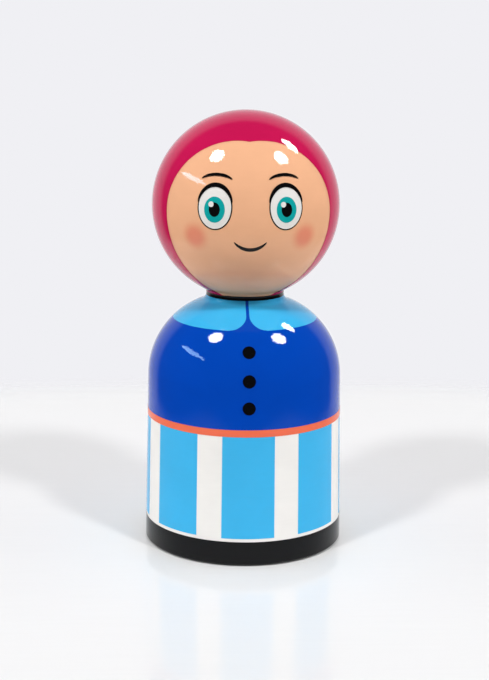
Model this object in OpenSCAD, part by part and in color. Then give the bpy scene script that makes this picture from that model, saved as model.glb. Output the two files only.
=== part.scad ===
// Ball-headed painted figurine: a tapered body with round shoulders, a ball head pinned on its narrow
// neck by a fluted dowel, and a cored underside closed by a plate and a felt pad.
// Millimetres, +Z up. The origin is the centre of the resting face, and the face looks along -Y.

/* [Body] */
// Diameter of the body at the base rim
base_d = 92; // [84:0.5:104]
// Diameter of the body where the straight side ends
shoulder_d = 89; // [80:0.5:92]
// Height of the straight side above the base rim
side_h = 78.5; // [62:0.5:100]
// Radius of the shoulder arc
shoulder_arc_r = 37; // [31:0.5:42]
// Rounding of the base rim
rim_round_r = 1; // [0.5:0.25:2]

/* [Neck] */
// Diameter of the neck at its waist, where the head sits on the body
neck_d = 35; // [28:0.5:42]
// Radius of the fillet from the shoulders up to the waist
neck_fillet_r = 4; // [1:0.25:6]
// Radius of the fillet from the waist up to the ball of the head
chin_fillet_r = 2.75; // [1:0.25:6]

/* [Head] */
// Diameter of the ball head
head_d = 85; // [74:0.5:100]

/* [Dowel] */
// Diameter of the dowel
dowel_d = 12; // [8:0.5:16]
// Depth of the socket in the body and of the socket in the head
socket_depth = 26; // [18:0.5:32]
// Chamfer at both ends of the dowel
dowel_chamfer = 1.5; // [0.5:0.25:2.5]
// Number of glue flutes round the dowel
flute_count = 16; // [8:1:24]
// Radius of a glue flute
flute_r = 0.6; // [0.3:0.1:0.8]
// Clearance between the dowel and its socket, on the radius
dowel_clearance = 0.15; // [0.05:0.05:0.3]
// Space for glue past each end of the dowel
glue_space = 0.75; // [0.25:0.25:3]
// Countersink at the mouth of each socket
socket_countersink = 1; // [0.5:0.25:2]

/* [Core] */
// Wall of the body round the cored hollow
side_wall = 12; // [10:0.5:16]
// Plaster left between the hollow and the dowel socket
roof_t = 9; // [6:0.5:14]
// Rounding at the top of the hollow
core_round_r = 12; // [6:0.5:18]

/* [Underside] */
// Thickness of the base plate
plate_t = 3; // [2:0.5:5]
// Width of the ledge that carries the base plate
ledge_w = 4; // [2.5:0.25:6]
// Clearance round the base plate, on the radius
plate_clearance = 0.3; // [0.1:0.05:0.5]
// Thickness of the felt pad
felt_t = 2; // [1:0.25:4]
// Height that the felt pad stands below the base rim
felt_proud = 0.5; // [0.25:0.05:0.9]
// Bare margin between the edge of the felt pad and the edge of the base plate
felt_margin = 0.5; // [0.25:0.25:3]

/* [Hidden] */
$fn = 128;
// Overlap of cutting shapes past the faces that they cut
past = 1;
// Excess radius of a circle that blends two faces, so that it crosses each of them at a clean point
blend = 0.01;

// Body: the side leans in by its draft, and the shoulder arc runs on from it without a kink
base_r = base_d / 2;
shoulder_r = shoulder_d / 2;
rim_z = felt_proud;
shoulder_z = rim_z + side_h;
draft = atan((base_r - shoulder_r) / side_h);
arc_x = shoulder_r - shoulder_arc_r * cos(draft);
arc_z = shoulder_z - shoulder_arc_r * sin(draft);

// Neck: its fillet touches the shoulder arc and stands upright at the waist, which is the head's seat
neck_r = neck_d / 2;
neck_x = neck_r + neck_fillet_r;
seat_z = arc_z + sqrt(pow(shoulder_arc_r + neck_fillet_r, 2) - pow(neck_x - arc_x, 2));
neck_share = shoulder_arc_r / (shoulder_arc_r + neck_fillet_r);
neck_touch = [arc_x + (neck_x - arc_x) * neck_share, arc_z + (seat_z - arc_z) * neck_share];

// Head: the fillet under the ball stands upright at the waist too, and touches the ball
head_r = head_d / 2;
chin_x = neck_r + chin_fillet_r;
head_z = seat_z + sqrt(pow(head_r + chin_fillet_r, 2) - pow(chin_x, 2));
chin_share = head_r / (head_r + chin_fillet_r);
chin_touch = [chin_x * chin_share, head_z + (seat_z - head_z) * chin_share];

// Dowel and sockets: half of the dowel in the body and half in the head
dowel_r = dowel_d / 2;
socket_r = dowel_r + dowel_clearance;
dowel_l = 2 * (socket_depth - glue_space);
dowel_z = seat_z - dowel_l / 2;

// Core: a wall's thickness inside the side, up to the roof under the dowel socket
core_base_r = base_r - side_wall;
core_top_z = seat_z - socket_depth - roof_t;
core_top_r = core_base_r - (core_top_z - rim_z) * tan(draft);

// Underside: plate and felt lie in a rebate, one on the other
plate_z = felt_t;
ledge_z = plate_z + plate_t;
rebate_r = core_base_r + ledge_w;
plate_r = rebate_r - plate_clearance;
felt_r = plate_r - felt_margin;

// Rectangle between two corners
module square_between(x0, z0, x1, z1) {
    translate([x0, z0]) square([x1 - x0, z1 - z0]);
}

// Waste outside the round of radius r at a corner of a side that leans in by the draft.
// up is 1 at the foot of the side and -1 at its top.
module corner_waste(x, z, r, up) {
    inset = r * (1 + up * sin(draft)) / cos(draft);
    on_side = [x - up * inset * sin(draft), z + up * inset * cos(draft)];
    centre = [x - inset, z + up * r];
    difference() {
        polygon([[x - inset, z - up * past], [x + past, z - up * past], [x + past, on_side[1]],
                 on_side, centre]);
        translate(centre) circle(r + blend);
    }
}

// Half section of the straight side with its rounded rim
module side_section() {
    difference() {
        polygon([[0, rim_z], [base_r, rim_z], [shoulder_r, shoulder_z], [0, shoulder_z]]);
        corner_waste(base_r, rim_z, rim_round_r, 1);
    }
}

// Half section of the shoulders, which run down inside the side
module shoulder_section() {
    intersection() {
        translate([arc_x, arc_z]) circle(shoulder_arc_r + blend);
        square_between(0, rim_z, 2 * shoulder_r, arc_z + shoulder_arc_r + past);
    }
}

// Half section of the neck below its waist, hollowed by the fillet circle
module neck_section() {
    difference() {
        polygon([[0, arc_z], [neck_touch[0], arc_z], neck_touch, [neck_x, seat_z], [0, seat_z]]);
        translate([neck_x, seat_z]) circle(neck_fillet_r + blend);
    }
}

// Half section of the ball of the head, down to the seat
module ball_section() {
    intersection() {
        translate([0, head_z]) circle(head_r);
        square_between(0, seat_z, head_r + past, head_z + head_r + past);
    }
}

// Half section of the foot under the ball, hollowed by the fillet circle
module chin_section() {
    difference() {
        polygon([[0, seat_z], [chin_x, seat_z], chin_touch, [0, chin_touch[1]]]);
        translate([chin_x, seat_z]) circle(chin_fillet_r + blend);
    }
}

// Half section of the hollow that the core leaves, with the rebate for the plate and the felt
module core_section() {
    square_between(0, rim_z - past, rebate_r, ledge_z);
    difference() {
        polygon([[0, rim_z], [core_base_r, rim_z], [core_top_r, core_top_z], [0, core_top_z]]);
        corner_waste(core_top_r, core_top_z, core_round_r, -1);
    }
}

// Half section of the socket for one half of the dowel, going up from its mouth at z = 0
module socket_section() {
    polygon([[0, -past], [socket_r + socket_countersink + past, -past], [socket_r, socket_countersink],
             [socket_r, socket_depth], [0, socket_depth]]);
}

// Half section of the dowel with its chamfered ends, standing on z = 0
module dowel_section() {
    tip_r = dowel_r - dowel_chamfer;
    polygon([[0, 0], [tip_r, 0], [dowel_r, dowel_chamfer], [dowel_r, dowel_l - dowel_chamfer],
             [tip_r, dowel_l], [0, dowel_l]]);
}

module body_casting() {
    color("royalblue")
    rotate_extrude() difference() {
        union() {
            side_section();
            shoulder_section();
            neck_section();
        }
        core_section();
        translate([0, seat_z]) mirror([0, 1]) socket_section();
    }
}

module head_casting() {
    color("mediumvioletred")
    rotate_extrude() difference() {
        union() {
            ball_section();
            chin_section();
        }
        translate([0, seat_z]) socket_section();
    }
}

module neck_dowel() {
    color("burlywood")
    translate([0, 0, dowel_z])
    difference() {
        rotate_extrude() dowel_section();
        for (i = [0 : flute_count - 1])
            rotate(i * 360 / flute_count) translate([dowel_r, 0, -past])
                cylinder(h = dowel_l + 2 * past, r = flute_r, $fn = 24);
    }
}

module base_plate() {
    color("tan")
    translate([0, 0, plate_z]) cylinder(h = plate_t, r = plate_r);
}

module felt_pad() {
    color("dimgray")
    cylinder(h = felt_t, r = felt_r);
}

body_casting();
head_casting();
neck_dowel();
base_plate();
felt_pad();
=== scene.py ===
"""Paint and studio for a ball-headed figurine: enamel coats on its plaster castings, and a felt foot.

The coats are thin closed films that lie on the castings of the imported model, in metres, in its frame.
"""
from math import atan2, cos, pi, radians, sin, sqrt
from typing import NamedTuple

import bpy
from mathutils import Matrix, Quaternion, Vector


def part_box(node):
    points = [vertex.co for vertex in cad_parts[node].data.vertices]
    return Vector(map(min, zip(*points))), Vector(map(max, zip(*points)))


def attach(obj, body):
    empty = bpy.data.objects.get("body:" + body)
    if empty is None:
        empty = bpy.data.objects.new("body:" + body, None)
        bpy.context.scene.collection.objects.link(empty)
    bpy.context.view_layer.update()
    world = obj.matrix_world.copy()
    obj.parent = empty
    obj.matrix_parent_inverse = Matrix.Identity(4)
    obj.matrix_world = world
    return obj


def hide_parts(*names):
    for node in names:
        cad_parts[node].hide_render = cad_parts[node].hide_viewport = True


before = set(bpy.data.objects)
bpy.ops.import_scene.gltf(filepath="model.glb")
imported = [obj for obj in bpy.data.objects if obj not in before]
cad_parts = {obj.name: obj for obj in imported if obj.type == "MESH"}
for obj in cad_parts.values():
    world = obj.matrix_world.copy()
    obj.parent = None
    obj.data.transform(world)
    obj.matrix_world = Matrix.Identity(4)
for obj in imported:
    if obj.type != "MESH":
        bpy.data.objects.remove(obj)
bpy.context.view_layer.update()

bl_info = {
    "name": "Painted Figurine",
    "version": (1, 0, 0),
    "blender": (4, 5, 0),
    "location": "3D View > Sidebar > Figurine",
    "description": "Paints a ball-headed figurine and sets up its studio",
    "category": "Object",
}

MM = 0.001
# Box of the bare figurine
BODY_LOW, BODY_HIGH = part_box("body_casting")
FELT_LOW, FELT_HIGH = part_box("felt_pad")
# Heights of the base rim, and of the head's seat on top of the body
RIM_Z = BODY_LOW.z
SEAT_Z = BODY_HIGH.z

# Points closer than this are one point
WELD = 0.001 * MM
# Steps of a full turn, and of the round stretches of an outline
TURN_STEPS = 192
BALL_STEPS = 96
ARC_STEPS = 40
SMALL_ARC_STEPS = 8
OVAL_STEPS = 64
STROKE_STEPS = 32
# Turn and steps of the patch of paint that a button is cut from
PATCH_SWEEP = radians(24)
PATCH_STEPS = 24
# Reach of a stencil in and out of the head, in head radii; the hair's leaves the back of the head whole
HAIR_REACH = 0.95
STROKE_REACH = 0.25
# Coats over the skin, in layers: the hair, and each stroke of the face over the one before
HAIR_LAYERS = 1.5
STROKE_LAYERS = 0.6
# Tops of the coats that lie on other coats of the body, in layers over the ground coat
BELT_LAYERS = 2
COLLAR_LAYERS = 2
BUTTON_LAYERS = 3
# The black line at the neck is painted shade for the crease under the chin
NECK_SHADE_LINE_LAYERS = 3
# Rounding of the felt's cut edge
FELT_ROUND = 0.5 * MM
# Edges sharper than this stay crisp under smooth shading
CRISP = radians(32)
# Height of the picture in pixels, which the camera's sensor spans
PICTURE_H = 680
# Sockets for the two colours of a Mix node
MIX_FROM, MIX_TO = 6, 7


def linear(code):
    """Linear colour of an sRGB hex code."""
    parts = [int(code[i:i + 2], 16) / 255 for i in (1, 3, 5)]
    return tuple(c / 12.92 if c <= 0.04045 else ((c + 0.055) / 1.055) ** 2.4 for c in parts)


def size(name, description, mm):
    """Property for a length, given in millimetres."""
    return bpy.props.FloatProperty(
        name=name, description=description, default=mm * MM, min=0, precision=5, unit="LENGTH")


def angle(name, description, degrees):
    """Property for an angle, given in degrees."""
    return bpy.props.FloatProperty(
        name=name, description=description, default=radians(degrees), subtype="ANGLE")


def colour(name, description, code):
    """Property for a colour, given as an sRGB hex code."""
    return bpy.props.FloatVectorProperty(
        name=name, description=description, default=linear(code), size=3, min=0, max=1, subtype="COLOR")


def fraction(name, description, part):
    """Property for a brightness or for a part of a whole."""
    return bpy.props.FloatProperty(name=name, description=description, default=part, min=0, max=1)


class FigurineForm(bpy.types.PropertyGroup):
    """Outline of the castings, which the paint follows."""

    base_r: size("Base", "Radius of the body at its base rim", 46)
    shoulder_r: size("Shoulder", "Radius of the body where its straight side ends", 44.5)
    side_h: size("Side", "Height of the straight side above the rim", 78.5)
    arc_r: size("Shoulder arc", "Radius of the shoulder arc", 37)
    rim_r: size("Rim", "Rounding of the base rim", 1)
    neck_r: size("Neck", "Radius of the neck at its waist", 17.5)
    neck_fillet_r: size("Neck fillet", "Radius of the fillet from the shoulders up to the waist", 4)
    chin_fillet_r: size("Chin fillet", "Radius of the fillet from the waist up to the ball", 2.75)
    head_r: size("Head", "Radius of the ball head", 42.5)


class FigurineDress(bpy.types.PropertyGroup):
    """Sizes of the painted dress."""

    ground: size("Ground coat", "Thickness of the ground coat of white or skin colour", 0.12)
    bite: size("Bite", "How far a coat reaches into the one below it", 0.06)
    layer: size("Layer", "Thickness of one coat over the ground coat", 0.08)
    hem_top: size("Hem", "Height of the top of the hem band", 11.5)
    skirt_low: size("Skirt foot", "Height where the stripes start", 13)
    belt_low: size("Belt foot", "Height of the lower edge of the belt", 60)
    belt_h: size("Belt width", "Width of the belt", 3.2)
    stripes: bpy.props.IntProperty(name="Stripes", description="Number of skirt stripes", default=8, min=3)
    stripe_angle: angle("Stripe width", "Angle that one stripe takes up", 30)
    collar_r: size("Collar", "Outer radius of the collar", 33)
    collar_gap: size("Collar gap", "Half of the gap between the two sides of the collar", 0.7)
    collar_round_r: size("Collar corner", "Rounding of the collar's corners", 6)
    # Half of the width of the black line painted over the neck joint as painted shade in the crease
    neck_line: size("Neck line", "Half of the width of the line over the joint at the neck", 1)
    button_r: size("Button", "Radius of a button", 2.9)
    button_z: size("Top button", "Height of the top button", 97)
    button_step: size("Button step", "Height from one button to the next", 12)
    buttons: bpy.props.IntProperty(name="Buttons", description="Number of buttons", default=3, min=1)


class FigurineFace(bpy.types.PropertyGroup):
    """Sizes of the painted hair and face."""

    part_z: size("Parting", "Height of the parting in the hairline above the centre of the head", 31)
    chin_z: size("Chin", "Depth below the centre of the head where the sides of the hair would meet", 43)
    half_w: size("Face", "Half of the width of the face, level with the centre of the head", 36)
    eye_azimuth: angle("Eye spread", "Angle of each eye from the middle of the face", 21.5)
    eye_latitude: angle("Eye level", "Angle of the eyes above the middle of the head", 5)
    eye_w: size("Eye width", "Half of the width of an eye", 7.4)
    eye_h: size("Eye height", "Half of the height of an eye", 9.2)
    eye_line: size("Eye line", "Width of the line round an eye", 0.55)
    iris_w: size("Iris", "Half of the width of an iris", 4.7)
    iris_h: size("Iris height", "Half of the height of an iris", 5.6)
    iris_drop: size("Iris drop", "How far the iris sits below the middle of the eye", 0.9)
    pupil_w: size("Pupil", "Half of the width of a pupil", 2.5)
    pupil_h: size("Pupil height", "Half of the height of a pupil", 3.1)
    light_r: size("Catchlight", "Radius of a catchlight", 1.2)
    light_left: size("Catchlight side", "How far a catchlight lies left of the middle of the iris", 1.56)
    light_up: size("Catchlight rise", "How far a catchlight lies above the middle of the iris", 2.28)
    lash_end: angle("Lash ends", "Angle of the lash line's ends above the level of the eye", 12)
    lash_w: size("Lash line", "Greatest width of the lash line", 1.9)
    brow_rise: size("Brow rise", "How far the top of a brow lies above the eye", 5)
    brow_half_w: size("Brow", "Half of the length of the oval that a brow follows", 8)
    brow_half_h: size("Brow arch", "Half of the height of the oval that a brow follows", 4)
    brow_end: angle("Brow ends", "Angle of a brow's ends above the level of its oval", 30)
    brow_w: size("Brow width", "Greatest width of a brow", 1.3)
    mouth_latitude: angle("Mouth", "Angle of the mouth below the middle of the head", 20)
    smile_r: size("Smile", "Radius of the smile's arc", 9)
    smile_half: angle("Smile length", "Half of the angle that the smile's arc takes up", 52)
    smile_w: size("Smile width", "Greatest width of the smile's line", 1.7)
    cheek_azimuth: angle("Cheek spread", "Angle of each cheek from the middle of the face", 35)
    cheek_latitude: angle("Cheek depth", "Angle of the cheeks below the middle of the head", 13)
    cheek_r: size("Cheek", "Radius of the blush on a cheek", 8)


class FigurineColours(bpy.types.PropertyGroup):
    """Colours of the paints and of the bare materials."""

    hair: colour("Hair", "Magenta enamel of the hair", "#C91452")
    skin: colour("Skin", "Peach enamel of the face", "#F8BB92")
    cheek: colour("Cheek", "Coral blush of the cheeks", "#F0866C")
    royal: colour("Bodice", "Royal blue enamel", "#0044B4")
    sky: colour("Stripes", "Sky blue enamel", "#3CB4EA")
    white: colour("White", "Warm white enamel", "#F2EFEB")
    black: colour("Black", "Black enamel", "#08080A")
    orange: colour("Belt", "Orange enamel", "#F07050")
    teal: colour("Iris", "Teal enamel", "#12A9A9")
    plaster: colour("Plaster", "Bare plaster", "#E6E1D8")
    beech: colour("Beech", "Beech wood", "#CFA678")
    hardboard: colour("Hardboard", "Pressed hardboard", "#7A573A")
    felt: colour("Felt", "Wool felt", "#2C2D30")
    table: colour("Table", "White table top", "#F7F7F7")
    backdrop: colour("Backdrop", "Pale backdrop", "#F0F0F4")


class FigurineStudio(bpy.types.PropertyGroup):
    """Camera and light."""

    azimuth: angle("Camera azimuth", "Turn of the camera from the front", -3)
    pitch: angle("Camera pitch", "Angle that the camera looks down by", 12.66)
    roll: angle("Camera roll", "Turn of the picture", 0.57)
    distance: size("Camera distance", "Distance from the camera to the figurine's axis", 697.1)
    aim_z: size("Aim", "Height on the figurine's axis that the camera aims at", 93.9)
    focal_px: bpy.props.FloatProperty(
        name="Focal length", description="Focal length in pixels of the picture", default=1500,
        subtype="PIXEL")
    lit_z: size("Lamp aim", "Height on the figurine's axis that the lamps point at", 120)
    dim: fraction("Dim", "Brightness of the tent overhead and in front", 0.08)
    back: fraction("Back", "Brightness of the tent behind the set", 0.9)
    tent_front: angle("Tent front", "Angle from the camera's side where the tent's bright back ends", 37)
    tent_low: angle("Tent low", "Elevation up to which the tent's back is bright", 14.5)
    tent_high: angle("Tent high", "Elevation where the tent's bright back ends", 48.6)
    glow_drop: angle("Glow drop", "Angle below the level of the middle of the backdrop in the varnish", 3)
    glow_core: angle("Glow core", "Angle from that middle up to which the backdrop is brightest there", 20)
    glow_rim: angle("Glow rim", "Angle from that middle where the backdrop starts to end", 50)
    glow_end: angle("Glow end", "Angle from that middle where the backdrop has ended", 61)
    glow_low: fraction("Glow at rim", "Brightness that the backdrop in the varnish keeps at its rim", 0.75)
    table_reach: size("Table", "Half of the width of the table top inside its faded edge", 240)
    table_fade: size("Table fade", "Width over which the table fades into the backdrop", 70)


class Lamp(NamedTuple):
    """Soft lamp at angles from the camera's side in degrees, with lengths in metres."""

    name: str
    azimuth: float
    elevation: float
    distance: float
    width: float
    height: float
    watts: float
    roll: float = 0.0
    tint: str = "#FFFFFF"
    lights: bool = True


# The first five light the figurine and throw its shadows; the others only show in the varnish
LAMPS = (
    Lamp("key_left", azimuth=-42, elevation=45, distance=12, width=1.6, height=1.6, watts=430),
    Lamp("key_right", azimuth=42, elevation=45, distance=12, width=1.6, height=1.6, watts=430),
    Lamp("fill", azimuth=0, elevation=57, distance=12, width=1.2, height=1.2, watts=457),
    Lamp("side_left", azimuth=-90, elevation=14, distance=2, width=3, height=0.9, watts=15.5),
    Lamp("side_right", azimuth=90, elevation=14, distance=2, width=3, height=0.9, watts=15.5),
    Lamp("round_left", azimuth=-65, elevation=58, distance=1.5, width=0.4, height=0.4, watts=23,
         lights=False),
    Lamp("round_right", azimuth=72, elevation=54, distance=1.5, width=0.4, height=0.4, watts=23,
         lights=False),
    Lamp("strip_left", azimuth=-75.5, elevation=28.5, distance=1, width=0.7, height=0.08, watts=2.8,
         tint="#B4E2FF", lights=False),
    Lamp("strip_right", azimuth=111.5, elevation=52, distance=1, width=0.15, height=0.29, watts=6.2,
         roll=-26, lights=False),
)


# Drawing and turning

def select_only(piece):
    """Makes one object the only selected one, and the active one."""
    bpy.ops.object.select_all(action="DESELECT")
    piece.select_set(True)
    bpy.context.view_layer.objects.active = piece


def draw(points):
    """Draws a line from point to point by extruding one vertex, and leaves it selected in edit mode."""
    bpy.ops.object.select_all(action="DESELECT")
    bpy.ops.mesh.primitive_plane_add(size=MM, location=points[0])
    bpy.ops.object.mode_set(mode="EDIT")
    bpy.ops.mesh.merge(type="CENTER")
    for here, there in zip(points, points[1:]):
        bpy.ops.mesh.extrude_vertices_move(TRANSFORM_OT_translate={"value": there - here})
    bpy.ops.mesh.select_all(action="SELECT")


def settle():
    """Welds what is being edited, turns its faces outwards and puts its place into its mesh."""
    bpy.ops.mesh.select_all(action="SELECT")
    bpy.ops.mesh.remove_doubles(threshold=WELD)
    bpy.ops.mesh.normals_make_consistent(inside=False)
    bpy.ops.object.mode_set(mode="OBJECT")
    bpy.ops.object.transform_apply(location=True, rotation=True, scale=True)
    return bpy.context.object


def turn(section, start=0.0, sweep=2 * pi, steps=TURN_STEPS):
    """Spins a section of (radius, height) points round the axis, from an azimuth that is 0 at the front."""
    points = [Vector((r * sin(start), -r * cos(start), z)) for r, z in section]
    whole = sweep >= 2 * pi
    # For a full turn the section is a closed line, unless it starts and ends on the axis
    if whole and section[0][0] > WELD:
        points.append(points[0])
    draw(points)
    # For part of a turn it is a face, which closes both ends
    if not whole:
        bpy.ops.mesh.edge_face_add()
    bpy.ops.mesh.spin(steps=steps, angle=sweep, center=(0, 0, 0), axis=(0, 0, -1))
    return settle()


def stencil(outline, place, reach):
    """Prism with a flat outline of (right, up) points that goes through a coat at a place."""
    centre, right, up = place
    out = right.cross(up)
    draw([centre - out * reach + right * u + up * v for u, v in outline])
    bpy.ops.mesh.edge_face_add()
    bpy.ops.mesh.extrude_region_move(TRANSFORM_OT_translate={"value": out * 2 * reach})
    return settle()


def cut(piece, tool, operation):
    """Cuts a piece with a stencil, which is used up, and welds its new edges."""
    select_only(piece)
    bpy.ops.object.modifier_add(type="BOOLEAN")
    modifier = piece.modifiers[-1]
    modifier.operation = operation
    modifier.solver = "MANIFOLD"
    modifier.object = tool
    bpy.ops.object.modifier_apply(modifier=modifier.name)
    if not piece.data.polygons:
        raise RuntimeError(f"nothing is left of {piece.name} after it was cut")
    bpy.ops.object.mode_set(mode="EDIT")
    settle()
    select_only(tool)
    bpy.ops.object.delete()


def add_piece(piece, name, material):
    """Names a finished piece, gives it its finish and fixes it to the figurine."""
    piece.name = piece.data.name = name
    piece.data.materials.clear()
    piece.data.materials.append(material)
    select_only(piece)
    bpy.ops.object.shade_smooth_by_angle(angle=CRISP)
    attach(piece, "root")


# Outlines

def arc(x, z, r, start, end, steps, hollow=False):
    """Points (radius, height, tilt of the outward normal) along an arc; a hollow arc faces its centre."""
    turns = [start + (end - start) * i / steps for i in range(steps + 1)]
    return [(x + r * cos(t), z + r * sin(t), t - pi if hollow else t) for t in turns]


def body_outline(form):
    """Outline of the body from its rim up to the seat: rim, side, shoulder arc and neck fillet."""
    draft = atan2(form.base_r - form.shoulder_r, form.side_h)
    rim_x = form.base_r - form.rim_r * (1 + sin(draft)) / cos(draft)
    arc_x = form.shoulder_r - form.arc_r * cos(draft)
    arc_z = RIM_Z + form.side_h - form.arc_r * sin(draft)
    neck_x = form.neck_r + form.neck_fillet_r
    touch = atan2(SEAT_Z - arc_z, neck_x - arc_x)
    outline = arc(rim_x, RIM_Z + form.rim_r, form.rim_r, -pi / 2, draft, SMALL_ARC_STEPS)
    outline += arc(arc_x, arc_z, form.arc_r, draft, touch, ARC_STEPS)
    outline += arc(neck_x, SEAT_Z, form.neck_fillet_r, touch + pi, pi, SMALL_ARC_STEPS, hollow=True)[1:]
    return outline


def head_z(form):
    """Height of the centre of the head."""
    chin_x = form.neck_r + form.chin_fillet_r
    return SEAT_Z + sqrt((form.head_r + form.chin_fillet_r) ** 2 - chin_x ** 2)


def at_height(outline, z):
    """Point of an outline at a height."""
    for low, high in zip(outline, outline[1:]):
        if low[1] <= z <= high[1]:
            share = (z - low[1]) / (high[1] - low[1])
            return tuple(a + (b - a) * share for a, b in zip(low, high))
    raise RuntimeError(f"the outline has no point at height {z}")


def stretch(outline, low, high):
    """The part of an outline between two heights."""
    inner = [point for point in outline if low < point[1] < high]
    return [at_height(outline, low), *inner, at_height(outline, high)]


def offset(path, over):
    """Points (radius, height) that lie over a path by a thickness."""
    return [(r + over * cos(t), z + over * sin(t)) for r, z, t in path]


def coat_section(path, low, high):
    """Section of a coat over a path, between two thicknesses, down its outside and up its inside."""
    return offset(path, high)[::-1] + offset(path, low)


def shoulder_height(outline, radius):
    """Height on the shoulders where an outline has a radius."""
    # The rim's points come first
    shoulders = outline[SMALL_ARC_STEPS + 1:]
    for low, high in zip(shoulders, shoulders[1:]):
        if low[0] >= radius >= high[0]:
            return low[1] + (high[1] - low[1]) * (low[0] - radius) / (low[0] - high[0])
    raise RuntimeError(f"the shoulders have no radius of {radius}")


def head_outline(form):
    """Outline of the head from the seat up to its top: chin fillet and ball."""
    z = head_z(form)
    chin_x = form.neck_r + form.chin_fillet_r
    lowest = -atan2(z - SEAT_Z, chin_x)
    outline = arc(chin_x, SEAT_Z, form.chin_fillet_r, pi, lowest + pi, SMALL_ARC_STEPS, hollow=True)
    return outline + arc(0.0, z, form.head_r, lowest, pi / 2, BALL_STEPS)[1:]


def towards(azimuth, elevation):
    """Direction with an azimuth that is 0 at the front, and an elevation."""
    return Vector((sin(azimuth) * cos(elevation), -cos(azimuth) * cos(elevation), sin(elevation)))


def place_on(point, azimuth):
    """Centre, right and up of the flat that touches a turned surface at a point and an azimuth."""
    r, z, tilt = point
    side, front = sin(azimuth), -cos(azimuth)
    return (
        Vector((r * side, r * front, z)),
        Vector((-front, side, 0)),
        Vector((-sin(tilt) * side, -sin(tilt) * front, cos(tilt))),
    )


def place_on_head(form, azimuth, latitude):
    """Centre, right and up of the flat that touches the head at an azimuth and a latitude."""
    r = form.head_r
    return place_on((r * cos(latitude), head_z(form) + r * sin(latitude), latitude), azimuth)


def oval(half_w, half_h, x=0.0, y=0.0):
    """Outline of an oval."""
    turns = [2 * pi * i / OVAL_STEPS for i in range(OVAL_STEPS)]
    return [(x + half_w * cos(t), y + half_h * sin(t)) for t in turns]


def two_arc_arch(half_w, half_h):
    """Outline of two arcs that meet in the middle, from the right foot to just before the left foot."""
    radius = (half_h ** 2 / half_w + half_w) / 2
    past = radius - half_w
    middle = atan2(half_h, past)
    turns = [middle * i / STROKE_STEPS for i in range(STROKE_STEPS + 1)]
    right = [(radius * cos(t) - past, radius * sin(t)) for t in turns]
    return right + [(-x, z) for x, z in reversed(right[1:-1])]


def brush_stroke(half_w, half_h, start, end, width, x=0.0, y=0.0):
    """Outline of a brush stroke along part of an oval, widest in the middle and pointed at its ends."""
    outer, inner = [], []
    for i in range(STROKE_STEPS + 1):
        t = start + (end - start) * i / STROKE_STEPS
        middle = Vector((x + half_w * cos(t), y + half_h * sin(t)))
        normal = Vector((cos(t) / half_w, sin(t) / half_h)).normalized()
        across = normal * width / 2 * sqrt(sin(pi * i / STROKE_STEPS))
        outer.append(tuple(middle + across))
        inner.append(tuple(middle - across))
    return outer + inner[-2:0:-1]


def head_coat(context, layers):
    """Copy of the face's coat, made thicker by a number of layers."""
    face = bpy.data.objects.get("face")
    if face is None:
        raise RuntimeError("paint the face before what lies on it")
    select_only(face)
    bpy.ops.object.duplicate()
    bpy.ops.object.mode_set(mode="EDIT")
    bpy.ops.mesh.select_all(action="SELECT")
    bpy.ops.transform.shrink_fatten(value=layers * context.scene.figurine_dress.layer)
    bpy.ops.object.mode_set(mode="OBJECT")
    return bpy.context.object


# Materials

def node(tree, kind, inputs=None, **settings):
    """Adds a node with its settings; an input that is a node or a socket is linked, any other is set."""
    made = tree.nodes.new(kind)
    for key, value in settings.items():
        setattr(made, key, value)
    for key, value in (inputs or {}).items():
        if isinstance(value, bpy.types.Node):
            value = next(socket for socket in value.outputs if socket.enabled)
        if isinstance(value, bpy.types.NodeSocket):
            tree.links.new(value, made.inputs[key])
        else:
            made.inputs[key].default_value = value
    return made


def rgba(rgb, share=1.0):
    """Colour with an alpha of 1, made lighter or darker by a share."""
    return (*(min(1.0, c * share) for c in rgb), 1.0)


def blank(name):
    """New material with an empty node tree, and that tree."""
    material = bpy.data.materials.new(name)
    material.use_nodes = True
    material.node_tree.nodes.clear()
    return material, material.node_tree


def mottle(tree, place, grain, stretch_by=(1, 1, 1), detail=2.0):
    """Pattern of patches about one grain across, drawn out along each axis by its stretch."""
    scale = [1 / (grain * s) for s in stretch_by]
    placed = node(tree, "ShaderNodeMapping", {"Vector": place, "Scale": scale})
    return node(tree, "ShaderNodeTexNoise", {"Vector": placed, "Scale": 1.0, "Detail": detail})


def varnish(tree, place, base_colour):
    """Shader of a paint under clear gloss varnish, whose fine ripple frays the edges of reflections."""
    ripple_w, ripple_h = 1.3 * MM, 0.02 * MM
    ripple = mottle(tree, place, ripple_w, detail=1.0)
    bump = node(tree, "ShaderNodeBump", {"Height": ripple, "Strength": 1.0, "Distance": ripple_h})
    # Varnish has an IOR of about 1.5; a lower one keeps the rims as deep in colour as on the figurine
    shader = node(tree, "ShaderNodeBsdfPrincipled", {
        "Base Color": base_colour,
        "Roughness": 0.4,
        "Specular IOR Level": 0.0,
        "Coat Weight": 1.0,
        "Coat Roughness": 0.035,
        "Coat IOR": 1.3,
        "Normal": bump,
        "Coat Normal": bump,
    })
    node(tree, "ShaderNodeOutputMaterial", {"Surface": shader})


def brushed_colour(tree, place, rgb):
    """A paint's colour, a little deeper and paler in broad patches and along the marks of the brush."""
    patch_w, mark_w, mark_stretch = 16 * MM, 1.1 * MM, 9
    # Shares of the colour in the deepest and the palest patches, between the marks and on them
    between, on_marks = (0.93, 1.05), (0.97, 1.08)
    patches = mottle(tree, place, patch_w)
    marks = mottle(tree, place, mark_w, stretch_by=(mark_stretch, mark_stretch, 1))
    ground, brushed = (
        node(tree, "ShaderNodeMix", {
            "Factor": patches, MIX_FROM: rgba(rgb, deep), MIX_TO: rgba(rgb, pale),
        }, data_type="RGBA")
        for deep, pale in (between, on_marks)
    )
    return node(tree, "ShaderNodeMix", {
        "Factor": marks, MIX_FROM: ground, MIX_TO: brushed,
    }, data_type="RGBA")


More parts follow.
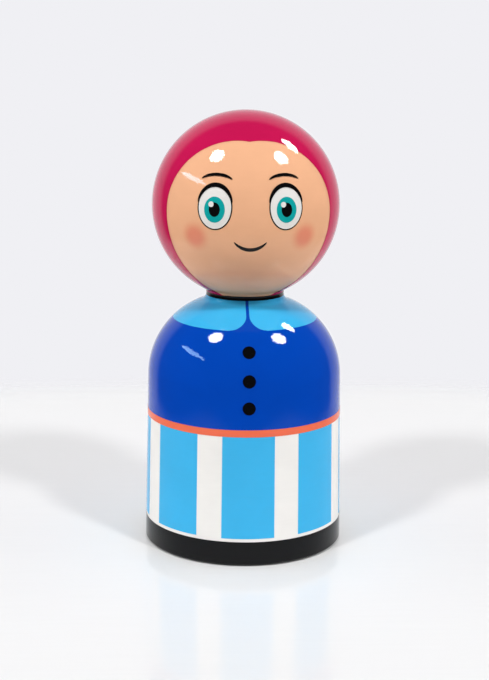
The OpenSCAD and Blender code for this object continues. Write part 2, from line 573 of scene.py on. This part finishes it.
def enamel(name, rgb):
    """Brushed enamel under gloss varnish: dense colour, white lamps mirrored in it and pale rims."""
    material, tree = blank(name)
    place = node(tree, "ShaderNodeTexCoord").outputs["Object"]
    varnish(tree, place, brushed_colour(tree, place, rgb))
    return material


def blushed_enamel(name, rgb, cheek, centre, radius):
    """Skin enamel with a coral blush dabbed on both cheeks, soft at its edge, under the same varnish."""
    material, tree = blank(name)
    core, depth = 0.25 * radius, 0.75
    place = node(tree, "ShaderNodeTexCoord").outputs["Object"]
    folded = node(tree, "ShaderNodeVectorMath", {0: place}, operation="ABSOLUTE")
    away = node(tree, "ShaderNodeVectorMath", {0: folded, 1: centre}, operation="DISTANCE")
    blush = node(tree, "ShaderNodeMapRange", {
        "Value": away, "From Min": radius, "From Max": core, "To Max": depth,
    }, interpolation_type="SMOOTHSTEP")
    skin = brushed_colour(tree, place, rgb)
    tint = node(tree, "ShaderNodeMix", {
        "Factor": blush, MIX_FROM: skin, MIX_TO: rgba(cheek),
    }, data_type="RGBA")
    varnish(tree, place, tint)
    return material


def matt(name, rgb, grain, contrast, roughness, relief, stretch_by=(1, 1, 1)):
    """Matt fibrous or chalky material, mottled and rough at the size of its grain."""
    material, tree = blank(name)
    blotch = 9 * grain
    # The range that most of a pattern lies in, drawn out to the whole contrast
    lowest, highest = 0.3, 0.7
    place = node(tree, "ShaderNodeTexCoord").outputs["Object"]
    fine = mottle(tree, place, grain, stretch_by, detail=4.0)
    speckle = node(tree, "ShaderNodeMapRange", {"Value": fine, "From Min": lowest, "From Max": highest})
    broad = mottle(tree, place, blotch, stretch_by)
    deep = node(tree, "ShaderNodeMix", {
        "Factor": broad, MIX_FROM: rgba(rgb, 1 - contrast), MIX_TO: rgba(rgb),
    }, data_type="RGBA")
    pale = node(tree, "ShaderNodeMix", {
        "Factor": broad, MIX_FROM: rgba(rgb), MIX_TO: rgba(rgb, 1 + contrast),
    }, data_type="RGBA")
    tint = node(tree, "ShaderNodeMix", {
        "Factor": speckle, MIX_FROM: deep, MIX_TO: pale,
    }, data_type="RGBA")
    bump = node(tree, "ShaderNodeBump", {"Height": fine, "Strength": 1.0, "Distance": relief})
    shader = node(tree, "ShaderNodeBsdfPrincipled", {
        "Base Color": tint, "Roughness": roughness, "Normal": bump,
    })
    node(tree, "ShaderNodeOutputMaterial", {"Surface": shader})
    return material


def paint(context, tint):
    """The enamel of one of the colours, made when it is first used."""
    colours = context.scene.figurine_colours
    name = f"{tint}_enamel"
    return bpy.data.materials.get(name) or enamel(name, getattr(colours, tint))


# Operators

class FIGURINE_OT_castings(bpy.types.Operator):
    """Give the castings, the dowel and the base plate their bare materials"""

    bl_idname = "figurine.castings"
    bl_label = "Castings"

    def execute(self, context):
        colours = context.scene.figurine_colours
        # Cast plaster: chalky and even, with a tooth that is drawn coarse enough to show
        plaster = matt(
            "cast_plaster", colours.plaster, grain=1.8 * MM, contrast=0.16, roughness=0.92,
            relief=0.08 * MM)
        # Turned beech: straight pale grain along the dowel
        beech = matt(
            "turned_beech", colours.beech, grain=0.5 * MM, contrast=0.22, roughness=0.6,
            relief=0.03 * MM, stretch_by=(1, 1, 14))
        # Hardboard: brown pressed fibres, mottled
        hardboard = matt(
            "pressed_hardboard", colours.hardboard, grain=0.7 * MM, contrast=0.25, roughness=0.7,
            relief=0.03 * MM, stretch_by=(3, 3, 1))
        finishes = {
            "body_casting": plaster,
            "head_casting": plaster,
            "neck_dowel": beech,
            "base_plate": hardboard,
        }
        for name, material in finishes.items():
            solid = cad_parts[name]
            solid.data.materials.clear()
            solid.data.materials.append(material)
        return {"FINISHED"}


class FIGURINE_OT_felt_foot(bpy.types.Operator):
    """Cut the felt foot, with a rounded edge and a woolly face"""

    bl_idname = "figurine.felt_foot"
    bl_label = "Felt Foot"

    def execute(self, context):
        x = FELT_HIGH.x - FELT_ROUND
        low, high = FELT_LOW.z, FELT_HIGH.z
        edge = arc(x, low + FELT_ROUND, FELT_ROUND, -pi / 2, 0, SMALL_ARC_STEPS)
        edge += arc(x, high - FELT_ROUND, FELT_ROUND, 0, pi / 2, SMALL_ARC_STEPS)
        foot = turn([(0.0, low), *(point[:2] for point in edge), (0.0, high)])
        colours = context.scene.figurine_colours
        # Wool felt: matted fibres with no gloss, drawn coarse enough to show
        felt = matt(
            "wool_felt", colours.felt, grain=1.5 * MM, contrast=0.8, roughness=1.0, relief=0.25 * MM)
        add_piece(foot, "felt_foot", felt)
        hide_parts("felt_pad")
        return {"FINISHED"}


class FIGURINE_OT_ground_coat(bpy.types.Operator):
    """Brush the white ground coat on the body, from the rim up to the seat"""

    bl_idname = "figurine.ground_coat"
    bl_label = "Ground Coat"

    def execute(self, context):
        form, dress = context.scene.figurine_form, context.scene.figurine_dress
        coat = turn(coat_section(body_outline(form), -dress.bite, dress.ground))
        add_piece(coat, "ground_coat", paint(context, "white"))
        return {"FINISHED"}


class FIGURINE_OT_dress(bpy.types.Operator):
    """Brush the bodice, the belt, the hem band and the striped skirt over the ground coat"""

    bl_idname = "figurine.dress"
    bl_label = "Dress"

    def execute(self, context):
        dress = context.scene.figurine_dress
        outline = body_outline(context.scene.figurine_form)
        under = dress.ground - dress.bite
        over = dress.ground + dress.layer
        belt_over = dress.ground + BELT_LAYERS * dress.layer
        belt_top = dress.belt_low + dress.belt_h
        bands = (
            ("bodice", "royal", "body_enamel", belt_top - dress.bite, SEAT_Z, over),
            ("belt", "orange", "orange_enamel", dress.belt_low, belt_top, belt_over),
            ("hem_band", "black", "black_enamel", RIM_Z, dress.hem_top, over),
        )
        for name, tint, slot, low, high, top in bands:
            band = turn(coat_section(stretch(outline, low, high), under, top))
            add_piece(band, name, paint(context, tint))
        self.stripes(context, stretch(outline, dress.skirt_low, dress.belt_low + dress.bite), under, over)
        return {"FINISHED"}

    def stripes(self, context, path, under, over):
        """Turns one stripe, centred on the front, and copies it round the skirt."""
        dress = context.scene.figurine_dress
        sweep = dress.stripe_angle
        steps = round(TURN_STEPS * sweep / (2 * pi))
        skirt = turn(coat_section(path, under, over), start=-sweep / 2, sweep=sweep, steps=steps)
        bpy.ops.object.mode_set(mode="EDIT")
        bpy.ops.mesh.select_all(action="SELECT")
        step = 2 * pi / dress.stripes
        for _ in range(dress.stripes - 1):
            bpy.ops.mesh.duplicate()
            bpy.ops.transform.rotate(value=step, orient_axis="Z", center_override=(0, 0, 0))
        bpy.ops.object.mode_set(mode="OBJECT")
        add_piece(skirt, "skirt_stripes", paint(context, "sky"))


class FIGURINE_OT_collar(bpy.types.Operator):
    """Paint a round collar in two halves, with round corners at the front and at the back"""

    bl_idname = "figurine.collar"
    bl_label = "Collar"

    def execute(self, context):
        dress = context.scene.figurine_dress
        outline = body_outline(context.scene.figurine_form)
        edge_z = shoulder_height(outline, dress.collar_r)
        over = dress.ground + COLLAR_LAYERS * dress.layer
        collar = turn(coat_section(stretch(outline, edge_z, SEAT_Z), dress.ground - dress.bite, over))
        reach = SEAT_Z / 2
        for front in (-1, 1):
            place = (Vector((0, 0, SEAT_Z)), Vector((1, 0, 0)), Vector((0, front, 0)))
            cut(collar, stencil(self.notch(dress), place, reach), "DIFFERENCE")
        add_piece(collar, "collar", paint(context, "sky"))
        return {"FINISHED"}

    def notch(self, dress):
        """Outline of the notch between the two halves: a narrow slot that opens round both corners."""
        gap, corner, edge = dress.collar_gap, dress.collar_round_r, dress.collar_r
        past_edge = 2 * edge
        corner_x = gap + corner
        corner_y = sqrt((edge - corner) ** 2 - corner_x ** 2)
        touch = atan2(corner_y, corner_x)
        turns = [pi + (touch - pi) * i / SMALL_ARC_STEPS for i in range(SMALL_ARC_STEPS + 1)]
        right = [(gap, 0.0)] + [(corner_x + corner * cos(t), corner_y + corner * sin(t)) for t in turns]
        right.append((right[-1][0], past_edge))
        return right + [(-x, y) for x, y in reversed(right)]


class FIGURINE_OT_buttons(bpy.types.Operator):
    """Paint a row of round buttons down the front of the bodice"""

    bl_idname = "figurine.buttons"
    bl_label = "Buttons"

    def execute(self, context):
        dress = context.scene.figurine_dress
        outline = body_outline(context.scene.figurine_form)
        over = dress.ground + BUTTON_LAYERS * dress.layer
        reach = 2 * dress.button_r
        for i in range(dress.buttons):
            z = dress.button_z - i * dress.button_step
            section = coat_section(stretch(outline, z - reach, z + reach), dress.ground, over)
            button = turn(section, start=-PATCH_SWEEP / 2, sweep=PATCH_SWEEP, steps=PATCH_STEPS)
            place = place_on(at_height(outline, z), 0.0)
            cut(button, stencil(oval(dress.button_r, dress.button_r), place, reach), "INTERSECT")
            add_piece(button, f"button_{i + 1}", paint(context, "black"))
        return {"FINISHED"}


class FIGURINE_OT_face(bpy.types.Operator):
    """Brush the skin colour on the ball of the head"""

    bl_idname = "figurine.face"
    bl_label = "Face"

    def execute(self, context):
        form, face = context.scene.figurine_form, context.scene.figurine_face
        dress, colours = context.scene.figurine_dress, context.scene.figurine_colours
        coat = turn(coat_section(head_outline(form), -dress.bite, dress.ground))
        cheek = place_on_head(form, face.cheek_azimuth, -face.cheek_latitude)[0]
        centre = [abs(c) for c in cheek]
        skin = blushed_enamel("skin_enamel", colours.skin, colours.cheek, centre, face.cheek_r)
        add_piece(coat, "face", skin)
        return {"FINISHED"}


class FIGURINE_OT_hair(bpy.types.Operator):
    """Paint the hair round the head, parted in the middle, down to the neck"""

    bl_idname = "figurine.hair"
    bl_label = "Hair"

    def execute(self, context):
        form, face = context.scene.figurine_form, context.scene.figurine_face
        hair = head_coat(context, HAIR_LAYERS)
        upper = two_arc_arch(face.half_w, face.part_z)
        lower = two_arc_arch(face.half_w, face.chin_z)
        outline = upper + [(-x, -z) for x, z in lower]
        centre = Vector((0, -form.head_r, head_z(form)))
        place = (centre, Vector((1, 0, 0)), Vector((0, 0, 1)))
        cut(hair, stencil(outline, place, HAIR_REACH * form.head_r), "DIFFERENCE")
        add_piece(hair, "hair", paint(context, "hair"))
        return {"FINISHED"}


class FIGURINE_OT_neck_shade_line(bpy.types.Operator):
    """Paint a black line over the joint between the head and the body, as painted shade for the dark crease
    there
    """

    bl_idname = "figurine.neck_line"
    bl_label = "Neck Line"

    def execute(self, context):
        form, dress = context.scene.figurine_form, context.scene.figurine_dress
        below = stretch(body_outline(form), SEAT_Z - dress.neck_line, SEAT_Z)
        above = stretch(head_outline(form), SEAT_Z, SEAT_Z + dress.neck_line)
        over = dress.ground + NECK_SHADE_LINE_LAYERS * dress.layer
        # Painted shade: a black band round the waist that stands in for the shade in the crease under the
        # chin
        line = turn(coat_section(below + above[1:], dress.ground - dress.bite, over))
        add_piece(line, "neck_line", paint(context, "black"))
        return {"FINISHED"}


class FIGURINE_OT_eyes(bpy.types.Operator):
    """Paint the eyes with their lashes and brows, one coat over another"""

    bl_idname = "figurine.eyes"
    bl_label = "Eyes"

    def execute(self, context):
        form, face = context.scene.figurine_form, context.scene.figurine_face
        line_w, line_h = face.eye_w + face.eye_line, face.eye_h + face.eye_line
        iris_z = -face.iris_drop
        light_z = iris_z + face.light_up
        brow_z = face.eye_h + face.brow_rise - face.brow_half_h
        lashes = brush_stroke(line_w, line_h, face.lash_end, pi - face.lash_end, face.lash_w)
        brow = brush_stroke(
            face.brow_half_w, face.brow_half_h, face.brow_end, pi - face.brow_end, face.brow_w, y=brow_z)
        layers = (
            ("eye_line", "black", oval(line_w, line_h)),
            ("eye_white", "white", oval(face.eye_w, face.eye_h)),
            ("iris", "teal", oval(face.iris_w, face.iris_h, y=iris_z)),
            ("pupil", "black", oval(face.pupil_w, face.pupil_h, y=iris_z)),
            ("catchlight", "white", oval(face.light_r, face.light_r, -face.light_left, light_z)),
            ("lashes", "black", lashes),
            ("brow", "black", brow),
        )
        for side, sign in (("left", -1), ("right", 1)):
            place = place_on_head(form, sign * face.eye_azimuth, face.eye_latitude)
            for level, (name, tint, outline) in enumerate(layers):
                coat = head_coat(context, STROKE_LAYERS * (level + 1))
                cut(coat, stencil(outline, place, STROKE_REACH * form.head_r), "INTERSECT")
                add_piece(coat, f"{name}_{side}", paint(context, tint))
        return {"FINISHED"}


class FIGURINE_OT_smile(bpy.types.Operator):
    """Paint the smile with one stroke"""

    bl_idname = "figurine.smile"
    bl_label = "Smile"

    def execute(self, context):
        form, face = context.scene.figurine_form, context.scene.figurine_face
        place = place_on_head(form, 0.0, -face.mouth_latitude)
        lowest = 1.5 * pi
        start, end = lowest - face.smile_half, lowest + face.smile_half
        outline = brush_stroke(face.smile_r, face.smile_r, start, end, face.smile_w, y=face.smile_r)
        coat = head_coat(context, STROKE_LAYERS)
        cut(coat, stencil(outline, place, STROKE_REACH * form.head_r), "INTERSECT")
        add_piece(coat, "smile", paint(context, "black"))
        return {"FINISHED"}


class FIGURINE_OT_stage(bpy.types.Operator):
    """Set the table, the light tent, the lamps and the camera"""

    bl_idname = "figurine.stage"
    bl_label = "Stage"

    def execute(self, context):
        studio, colours = context.scene.figurine_studio, context.scene.figurine_colours
        context.scene.view_settings.view_transform = "Standard"
        self.table(studio, colours)
        self.tent(context, studio, colours)
        self.camera(context, studio)
        for lamp in LAMPS:
            self.hang(context, studio, lamp)
        return {"FINISHED"}

    def table(self, studio, colours):
        """White table top that fades into the backdrop, with a soft mirror image in its polish."""
        edge = studio.table_reach + studio.table_fade
        grain_w, grain_stretch, grain_share = 2 * MM, 20, 0.97
        bpy.ops.object.select_all(action="DESELECT")
        bpy.ops.mesh.primitive_plane_add(size=2 * edge)
        top = bpy.context.object
        top.name = "table_top"
        material, tree = blank("white_laminate")
        place = node(tree, "ShaderNodeTexCoord").outputs["Object"]
        folded = node(tree, "ShaderNodeVectorMath", {0: place}, operation="ABSOLUTE")
        side = node(tree, "ShaderNodeSeparateXYZ", {0: folded}).outputs
        # Fourth powers give a square with round corners
        power = 4.0
        x, y = (
            node(tree, "ShaderNodeMath", {0: side[axis], 1: power}, operation="POWER")
            for axis in "XY"
        )
        total = node(tree, "ShaderNodeMath", {0: x, 1: y}, operation="ADD")
        away = node(tree, "ShaderNodeMath", {0: total, 1: 1 / power}, operation="POWER")
        fade = node(tree, "ShaderNodeMapRange", {
            "Value": away, "From Min": studio.table_reach, "From Max": edge,
        }, interpolation_type="SMOOTHSTEP")
        grain = mottle(tree, place, grain_w, stretch_by=(grain_stretch, 1, 1))
        tint = node(tree, "ShaderNodeMix", {
            "Factor": grain, MIX_FROM: rgba(colours.table, grain_share), MIX_TO: rgba(colours.table),
        }, data_type="RGBA")
        shader = node(tree, "ShaderNodeBsdfPrincipled", {
            "Base Color": tint, "Roughness": 0.13, "IOR": 1.4,
        })
        clear = node(tree, "ShaderNodeBsdfTransparent")
        faded = node(tree, "ShaderNodeMixShader", {0: fade, 1: shader, 2: clear})
        node(tree, "ShaderNodeOutputMaterial", {"Surface": faded})
        top.data.materials.append(material)

    def tent(self, context, studio, colours):
        """Light tent with a bright back, and a pale backdrop that the camera and the varnish see."""
        world = bpy.data.worlds.new("light_tent")
        world.use_nodes = True
        tree = world.node_tree
        tree.nodes.clear()
        way = node(tree, "ShaderNodeTexCoord").outputs["Generated"]
        ray = node(tree, "ShaderNodeLightPath").outputs
        # The cloth is brightest low behind the set
        height = node(tree, "ShaderNodeSeparateXYZ", {0: way}).outputs["Z"]
        front = node(tree, "ShaderNodeVectorMath", {
            0: way, 1: towards(studio.azimuth, 0.0),
        }, operation="DOT_PRODUCT")
        behind = node(tree, "ShaderNodeMapRange", {
            "Value": front, "From Min": -1.0, "From Max": cos(studio.tent_front),
            "To Min": ray["Is Diffuse Ray"], "To Max": 0.0,
        }, interpolation_type="SMOOTHSTEP")
        low = node(tree, "ShaderNodeMapRange", {
            "Value": height, "From Min": sin(studio.tent_low), "From Max": sin(studio.tent_high),
            "To Min": behind, "To Max": 0.0,
        }, interpolation_type="SMOOTHSTEP")
        level = node(tree, "ShaderNodeMapRange", {
            "Value": low, "To Min": studio.dim, "To Max": studio.back,
        })
        cloth = node(tree, "ShaderNodeBackground", {"Color": rgba((1, 1, 1)), "Strength": level})
        # The varnish mirrors the backdrop behind the set, which ends in a soft rim
        ahead = node(tree, "ShaderNodeVectorMath", {
            0: way, 1: -towards(studio.azimuth, studio.glow_drop),
        }, operation="DOT_PRODUCT")
        glow = node(tree, "ShaderNodeMapRange", {
            "Value": ahead, "From Min": cos(studio.glow_rim), "From Max": cos(studio.glow_core),
            "To Min": studio.glow_low,
        })
        mirror = node(tree, "ShaderNodeMapRange", {
            "Value": ahead, "From Min": cos(studio.glow_end), "From Max": cos(studio.glow_rim),
            "To Max": glow,
        }, interpolation_type="SMOOTHSTEP")
        mirrored = node(tree, "ShaderNodeMath", {0: ray["Is Glossy Ray"], 1: mirror}, operation="MULTIPLY")
        through = node(tree, "ShaderNodeMath", {
            0: mirrored, 1: ray["Is Transmission Ray"],
        }, operation="MAXIMUM")
        seen = node(tree, "ShaderNodeMath", {0: through, 1: ray["Is Camera Ray"]}, operation="MAXIMUM")
        pale = node(tree, "ShaderNodeBackground", {"Color": rgba(colours.backdrop), "Strength": 1.0})
        both = node(tree, "ShaderNodeMixShader", {0: seen, 1: cloth, 2: pale})
        node(tree, "ShaderNodeOutputWorld", {"Surface": both})
        context.scene.world = world

    def camera(self, context, studio):
        """Camera at the angle and the distance that the picture was taken from."""
        data = bpy.data.cameras.new("camera")
        camera = bpy.data.objects.new("camera", data)
        context.scene.collection.objects.link(camera)
        data.lens = studio.focal_px / PICTURE_H * data.sensor_width
        back = towards(studio.azimuth, studio.pitch)
        camera.location = Vector((0, 0, studio.aim_z)) + back * studio.distance
        camera.rotation_mode = "QUATERNION"
        camera.rotation_quaternion = (-back).to_track_quat("-Z", "Y") @ Quaternion((0, 0, 1), studio.roll)
        context.scene.camera = camera

    def hang(self, context, studio, lamp):
        """Hangs a lamp where it points at the figurine."""
        data = bpy.data.lights.new(lamp.name, "AREA")
        data.shape = "ELLIPSE"
        data.size, data.size_y = lamp.width, lamp.height
        data.energy = lamp.watts
        data.color = linear(lamp.tint)
        light = bpy.data.objects.new(lamp.name, data)
        context.scene.collection.objects.link(light)
        way = towards(studio.azimuth + radians(lamp.azimuth), radians(lamp.elevation))
        light.location = Vector((0, 0, studio.lit_z)) + way * lamp.distance
        light.rotation_mode = "QUATERNION"
        roll = Quaternion((0, 0, 1), radians(lamp.roll))
        light.rotation_quaternion = (-way).to_track_quat("-Z", "Y") @ roll
        light.visible_camera = False
        light.visible_diffuse = lamp.lights
        light.visible_glossy = not lamp.lights


class FIGURINE_PT_panel(bpy.types.Panel):
    """Sidebar panel with the steps in order and the sizes and colours that they use"""

    bl_idname = "FIGURINE_PT_panel"
    bl_label = "Painted Figurine"
    bl_space_type = "VIEW_3D"
    bl_region_type = "UI"
    bl_category = "Figurine"

    def draw(self, context):
        for step in STEPS:
            self.layout.operator(step.bl_idname)
        for name in GROUPS:
            group = getattr(context.scene, name)
            box = self.layout.box()
            for prop in group.bl_rna.properties:
                if prop.identifier not in ("rna_type", "name"):
                    box.prop(group, prop.identifier)


GROUPS = {
    "figurine_form": FigurineForm,
    "figurine_dress": FigurineDress,
    "figurine_face": FigurineFace,
    "figurine_colours": FigurineColours,
    "figurine_studio": FigurineStudio,
}
STEPS = (
    FIGURINE_OT_castings,
    FIGURINE_OT_felt_foot,
    FIGURINE_OT_ground_coat,
    FIGURINE_OT_dress,
    FIGURINE_OT_collar,
    FIGURINE_OT_buttons,
    FIGURINE_OT_face,
    FIGURINE_OT_hair,
    FIGURINE_OT_neck_shade_line,
    FIGURINE_OT_eyes,
    FIGURINE_OT_smile,
    FIGURINE_OT_stage,
)


def register():
    """Registers the classes and gives the scene its groups of sizes and colours."""
    for group in (*GROUPS.values(), *STEPS, FIGURINE_PT_panel):
        bpy.utils.register_class(group)
    for name, group in GROUPS.items():
        setattr(bpy.types.Scene, name, bpy.props.PointerProperty(type=group))


def unregister():
    """Takes the groups off the scene and unregisters the classes."""
    for name in GROUPS:
        delattr(bpy.types.Scene, name)
    for group in (FIGURINE_PT_panel, *reversed(STEPS), *GROUPS.values()):
        bpy.utils.unregister_class(group)


def main():
    """Runs every step in order."""
    register()
    for step in STEPS:
        area, name = step.bl_idname.split(".")
        getattr(getattr(bpy.ops, area), name)()


if __name__ == "__main__":
    main()
